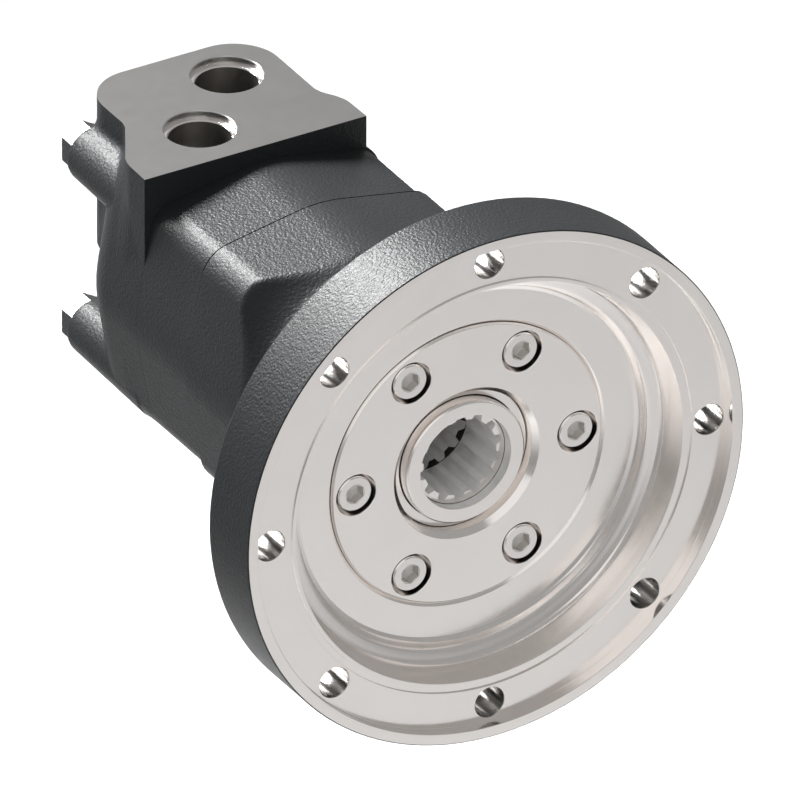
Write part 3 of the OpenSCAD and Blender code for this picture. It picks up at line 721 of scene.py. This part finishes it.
def make_rear_housing():
    P, T, B, F, D, W = 0, 1, 2, 3, 4, 5
    mats = [M_PAINT, M_TURNED, M_BORE, M_PORTFACE, M_PORTBORE_SHADE, M_PORTWALL]
    h = 0.8
    o = field_mesh("rear_housing_v", rear_sdf, (-219.6, -51, -51), (-147, 51, 63), h, mats)
    th = np.arange(256) * TAU / 256
    rs = section_rho(th, 47.5, 9.4, BOLT_C)
    seat = np.column_stack([rs * np.cos(th), rs * np.sin(th)])
    tools = [block("t", (-152.5, -70, -70), (-140, 70, 70), mats, P),
             block("t", (-230, -70, 53.9), (-140, 70, 80), mats, F),
             prism("t", seat, -152.52, -150, mats, T)]
    tools.append(lathe("t", [(0, -150, 0, B), (38.05, -150, 0, B), (38.05, -162.5, 0, T), (36, -162.5, 0, B), (36, -174.9, 0, T),
                             (31.2, -174.9, 0, B), (31.2, -186, 0, T), (0, -186, 0, T)], mats, 128, False))
    tools.append(lathe("t", [(38.3, -150, 0, B), (38.3, -153.8, 0.1, B), (40.1, -153.8, 0.1, B), (40.1, -150, 0, B)], mats, 128))
    for c in CORNERS:
        tools.append(lathe("t", [(0, -150, 0, B), (5.25, -150, 0, B), (5.25, -212, 0, B), (0, -212, 0, B)], mats, 32, False, c))
        if c[1] > 0:
            tools.append(lathe("t", [(0, -208.2, 0, P), (10.4, -208.2, 0.6, P), (10.4, -222, 0, P), (0, -222, 0, P)], mats, 96, False, c))
    o2 = boolean(o, tools)
    # vertical bores: turned about X, then stood up
    for (px, py) in ((-199.0, 12.8), (-172.4, -12.8)):
        # the bore below each port seat takes material D, the dark steel, which is painted shade deep in the port
        t = lathe("t", [(0, 60, 0, T), (12.35, 60, 0, T), (12.35, 53.9, 0, W), (12.1, 53.62, 0.1, W), (12.1, 51.35, 0, T),
                        (10.95, 51.1, 0.12, T), (10.5, 50.65, 0.1, D), (10.5, 36.5, 0, D), (0, 36.5, 0, D)], mats, 128, False)
        t.data.transform(Matrix(((0, 0, 1, px * MM), (0, 1, 0, py * MM), (1, 0, 0, 0), (0, 0, 0, 1))))
        outward(t.data)
        boolean(o2, [t])
    for (px, py, z0, z1, r) in ((-169.2, -12.8, 26, 40, 5.0), (-199.0, 12.8, 14, 40, 7.0)):
        t = lathe("t", [(0, z1, 0, B), (r, z1, 0, B), (r, z0, 0, B), (0, z0, 0, B)], mats, 40, False)
        t.data.transform(Matrix(((0, 0, 1, px * MM), (0, 1, 0, py * MM), (1, 0, 0, 0), (0, 0, 0, 1))))
        outward(t.data)
        boolean(o2, [t])
    boolean(o2, [lathe("t", [(0, -184, 0, B), (5.5, -184, 0, B), (5.5, -199, 0, B), (0, -199, 0, B)], mats, 40, False, (12.8, 20))])
    return at(dress(o2), "rear_housing_v", ["rear_housing"], "housing")


# ---------------------------------------------------------------------------
# Cover, screws, seal
# ---------------------------------------------------------------------------


def make_cover():
    T, B = 0, 1
    o = lathe("bearing_cover_v", [(25.8, -20.9, 0.1, B), (27.7, -19.0, 0.06, T), (50.6, -19.0, 0.15, T), (51.2, -19.6, 0.15, B),
                                  (51.2, -28.7, 0.1, B), (48.95, -28.7, 0.1, B), (48.95, -31.2, 0.1, B), (51.2, -31.2, 0.1, B),
                                  (51.2, -33.0, 0.2, T), (30, -33, 0.2, B), (30, -27.8, 0, T), (25.8, -27.8, 0.1, B)],
              COVER_MATS, 288, arcs=3)
    tools = []
    for i in range(6):
        a = i * TAU / 6
        c = (42 * math.cos(a), 42 * math.sin(a))
        tools.append(lathe("t", [(0, -17, 0, B), (7.72, -17, 0, B), (7.72, -19.0, 0, B), (7.57, -19.15, 0, B), (7.57, -27.6, 0, T),
                                 (4.5, -27.6, 0, B), (4.5, -35, 0, B), (0, -35, 0, B)], COVER_MATS, 72, False, c))
    boolean(o, tools)
    return at(dress(o), "bearing_cover_v", ["bearing_cover"], "housing")


def make_screws():
    mats = [M_SCREW, M_SOCKET, M_BLACK_OXIDE_AND_SHADE]
    o = lathe("cover_screws_v", [(0, -19.6, 0, 0), (5.95, -19.6, 0.12, 0), (6.45, -20.1, 0.2, 0), (6.45, -27.6, 0.1, 0),
                                 (3.95, -27.6, 0.3, 0), (3.95, -47.2, 0.1, 0), (3.2, -48, 0.1, 0), (0, -48, 0, 0)], mats, 64, False)
    r = 6.2 / math.sqrt(3)
    hexa = [(r * math.cos(math.radians(30 + 60 * k)), r * math.sin(math.radians(30 + 60 * k))) for k in range(6)]
    boolean(o, [prism("t", hexa, -18.5, -23.4, mats, 1),
                lathe("t", [(0, -18.5, 0, 1), (r + 1.15, -18.5, 0, 1), (r - 0.15, -19.8, 0, 1), (0, -19.8, 0, 1)], mats, 48, False),
                lathe("t", [(0, -23.0, 0, 1), (2.9, -23.0, 0, 1), (2.9, -23.5, 0, 1), (0, -24.6, 0, 1)], mats, 36, False)])
    dress(o, 25)
    copies(o, [(42 * math.cos(i * TAU / 6), 42 * math.sin(i * TAU / 6)) for i in range(6)])
    return at(o, "cover_screws_v", ["cover_screws"], "housing")


def make_seal():
    mats = [M_TURNED, M_RUBBER]
    o = lathe("dust_seal_v", [(25.7, -24.5, 0.15, 0), (25.4, -24.2, 0.15, 0), (22.7, -24.2, 0.15, 0), (22.7, -25.4, 0.1, 1),
                              (22.47, -26.4, 0.05, 1), (22.47, -26.7, 0.1, 1), (23.3, -27.5, 0.2, 1),
                              (24.0, -27.6, 0.0, 0), (25.7, -27.6, 0.2, 0)], mats, 192, arcs=3)
    return at(dress(o), "dust_seal_v", ["dust_seal"], "housing")


# ---------------------------------------------------------------------------
# Output shaft with its two broached splines
# ---------------------------------------------------------------------------


def spline_outline(n, rt, rr, p, inner, phase=0.0, fil=0.45):
    """Tooth spaces of an internal spline as one star-shaped outline, rounded at the root."""

    def half(q):
        w = TAU * q / n - (math.pi * p / n + 2 * (q - p) * math.tan(math.radians(30)))
        return w / 2 / q

    pts = []
    for i in range(n):
        a = phase + i * TAU / n
        for s in (-1, 1):
            prof = []
            for q in (inner, rt, rt + 0.5 * (rr - rt), rr):
                bulge = 0.03 * math.sin(math.pi * min(max((q - rt) / (rr - rt), 0), 1))
                prof.append(np.array([q * math.cos(a + s * (half(q) + bulge / q)), q * math.sin(a + s * (half(q) + bulge / q))]))
            # root fillet between the flank and the root arc
            c = prof[-1]
            u = prof[-2] - c
            u = u / np.linalg.norm(u)
            v = np.array([rr * math.cos(a), rr * math.sin(a)]) - c
            v = v / np.linalg.norm(v)
            arc = [c + u * fil * (1 - t) ** 2 + v * fil * t ** 2 for t in (0, 0.25, 0.5, 0.75, 1)]
            seq = prof[:-1] + arc
            pts += seq if s < 0 else seq[::-1]
    return pts


def make_shaft():
    S, T, K, D = 0, 1, 2, 3
    mats = [M_SHAFT, M_TURNED, M_SPLINE, M_BLACK_OXIDE_AND_SHADE]
    # material D (black) on the front faces of the rear spline's teeth at x -46.8 and on the thin ring R16.8 to 17.15 at
    # x -23.4 is painted shade in the shaft's hollows
    o = lathe("output_shaft_v", [(17.25, -19.6, 0.08, S), (21.8, -19.6, 0.15, S), (22.4, -20.2, 0.2, S), (22.4, -33.6, 0.2, S),
                                 (19.97, -33.6, 0.2, S), (19.97, -93.2, 0.1, S), (19.17, -94, 0.1, S), (16.6, -94, 0.2, S),
                                 (16.6, -70, 0.2, S), (13.8, -70, 0.15, K), (13.8, -46.8, 0.05, D), (16.5, -46.8, 0.05, K),
                                 (16.5, -43.4, 0.1, K), (13.8, -43.4, 0.1, K), (13.8, -23.4, 0.12, T), (16.8, -23.4, 0, D), (17.15, -23.4, 0.05, K),
                                 (17.15, -19.75, 0.08, S)], mats, 256, arcs=3)
    star = spline_outline(14, 13.8, 16.1, 14.8, 12.9, math.radians(11.5))
    boolean(o, [prism("t", star, -21.5, -71.0, mats, K)])
    return at(dress(o), "output_shaft_v", ["output_shaft"], "shaft")


def make_bolts():
    mats = [M_HEAD, M_BLACK_OXIDE_AND_SHADE]
    r = 15 / math.sqrt(3)
    o = lathe("tie_bolts_v", [(0, -215.7, 0, 0), (8.2, -215.7, 0.1, 0), (r + 0.6, -215.3, 0, 0), (r + 0.6, -208.2, 0, 0),
                              (0, -208.2, 0, 0)], mats, 96, False)
    hx = []
    for k in range(6):
        a = math.radians(30 + 60 * k)
        for d in (-0.01, 0.0, 0.01):
            q = r * (0.999 if d else 0.9975)
            hx.append((q * math.cos(a + d), q * math.sin(a + d)))
    boolean(o, [prism("t", hx, -217, -207, mats, 0)], "INTERSECT")
    sh2 = lathe("t", [(0, -210.0, 0, 1), (4.95, -210.0, 0, 1), (4.95, -101.5, 0, 1), (4.1, -100.5, 0, 1),
                      (0, -100.5, 0, 1)], mats, 36, False)
    boolean(o, [sh2], "UNION")
    dress(o, 25)
    copies(o, CORNERS)
    return at(o, "tie_bolts_v", ["tie_bolts"], "housing")


make_front_housing()
make_stator()
make_rear_housing()
make_cover()
make_screws()
make_seal()
make_shaft()
make_bolts()

# ---------------------------------------------------------------------------
# Inner pieces keep their CAD meshes
# ---------------------------------------------------------------------------
INNER = {
    M_RUBBER: ["shaft_seal", "cover_o_ring", "front_section_o_ring", "rear_section_o_ring", "balance_seals"],
    M_BEARING: ["front_bearing_cup", "rear_bearing_cup", "front_bearing_cone", "rear_bearing_cone", "front_bearing_rollers",
                "rear_bearing_rollers", "balance_pins"] + ["geroler_roller_%d" % k for k in range(1, 8)],
    M_CAGE: ["front_bearing_cage", "rear_bearing_cage", "lock_washer"],
    M_SPRING: ["balance_spring"],
    M_GROUND: ["wear_plate", "channel_plate", "balance_ring", "disc_valve", "rotor"],
    M_LINK: ["drive_link", "valve_link"],
    M_BLACK_OXIDE_AND_SHADE: ["bearing_nut"],
    M_TURNED: ["thrust_button"],
}
for mat, names in INNER.items():
    for nm in names:
        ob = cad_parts[nm]
        for sl in ob.material_slots:
            sl.material = mat
        assert len(ob.material_slots) > 0

# ---------------------------------------------------------------------------
# Camera, floor, light
# ---------------------------------------------------------------------------
BACK = Vector((0.75, -0.4330127, 0.5))
RIGHT = Vector((0.5, 0.8660254, 0.0))
UP = Vector((-0.4330127, 0.25, 0.8660254))
aim = RIGHT * (-95.64 / 3040) + UP * (88.11 / 3040)
cam = bpy.data.cameras.new("camera")
cam.type = "ORTHO"
cam.ortho_scale = 800 / 3040
cam.clip_end = 20
co = bpy.data.objects.new("camera", cam)
scene.collection.objects.link(co)
co.matrix_world = Matrix((
    (RIGHT.x, UP.x, BACK.x, aim.x + BACK.x * 1.2),
    (RIGHT.y, UP.y, BACK.y, aim.y + BACK.y * 1.2),
    (RIGHT.z, UP.z, BACK.z, aim.z + BACK.z * 1.2),
    (0, 0, 0, 1)))
scene.camera = co
scene.view_settings.view_transform = "Standard"
scene.view_settings.look = "None"
scene.view_settings.exposure = 0.0
scene.view_settings.gamma = 1.0

FLOOR_Z = -0.62
me = bpy.data.meshes.new("floor")
s = 7.0
me.from_pydata([(-s, -s, FLOOR_Z), (s, -s, FLOOR_Z), (s, s, FLOOR_Z), (-s, s, FLOOR_Z)], [], [(0, 1, 2, 3)])
fm = bpy.data.materials.new("floor_pale")
fm.use_nodes = True
fm.node_tree.nodes["Principled BSDF"].inputs["Base Color"].default_value = (0.86, 0.86, 0.86, 1)
fm.node_tree.nodes["Principled BSDF"].inputs["Roughness"].default_value = 0.9
me.materials.append(fm)
floor = link_obj("floor", me)

world = bpy.data.worlds.new("pale")
world.use_nodes = True
world.node_tree.nodes["Background"].inputs["Color"].default_value = (1, 1, 1, 1)
world.node_tree.nodes["Background"].inputs["Strength"].default_value = 0.352
scene.world = world


def softbox(name, direction, distance, w, h, radiance, target=(-0.08, 0, 0), spread=180):
    """A rectangular lamp that faces the target, with the radiance that its surface shows."""
    d = Vector(direction).normalized()
    li = bpy.data.lights.new(name, "AREA")
    li.shape = "RECTANGLE"
    li.size, li.size_y = w, h
    li.energy = radiance * math.pi * w * h
    li.color = (1, 1, 1)
    li.spread = math.radians(spread)
    o = bpy.data.objects.new(name, li)
    scene.collection.objects.link(o)
    o.location = Vector(target) + d * distance
    o.rotation_euler = d.to_track_quat("Z", "Y").to_euler()
    return o


NEAR = (-0.05, -0.03, 0.04)
softbox("key_a", (-0.75, -0.10, 0.653), 1.3, 0.35, 0.5, 16.4, NEAR, 90)
softbox("key_b", (-0.75, -0.33, 0.57), 1.3, 0.35, 0.5, 3.1, NEAR, 90)
softbox("key_c", (-0.743, -0.50, 0.45), 1.3, 0.35, 0.5, 2.4, NEAR, 90)
softbox("front_fill", (0.75, -0.433, 0.5), 1.6, 1.5, 1.5, 0.5, NEAR)
softbox("back_right", (-0.75, 0.433, 0.5), 1.3, 0.5, 0.8, 0.2, (-0.05, 0, 0.04))
softbox("backdrop", (0, 0, 1), 0.75, 0.6, 0.7, 2.4, (-0.93, 0.54, FLOOR_Z), 90)
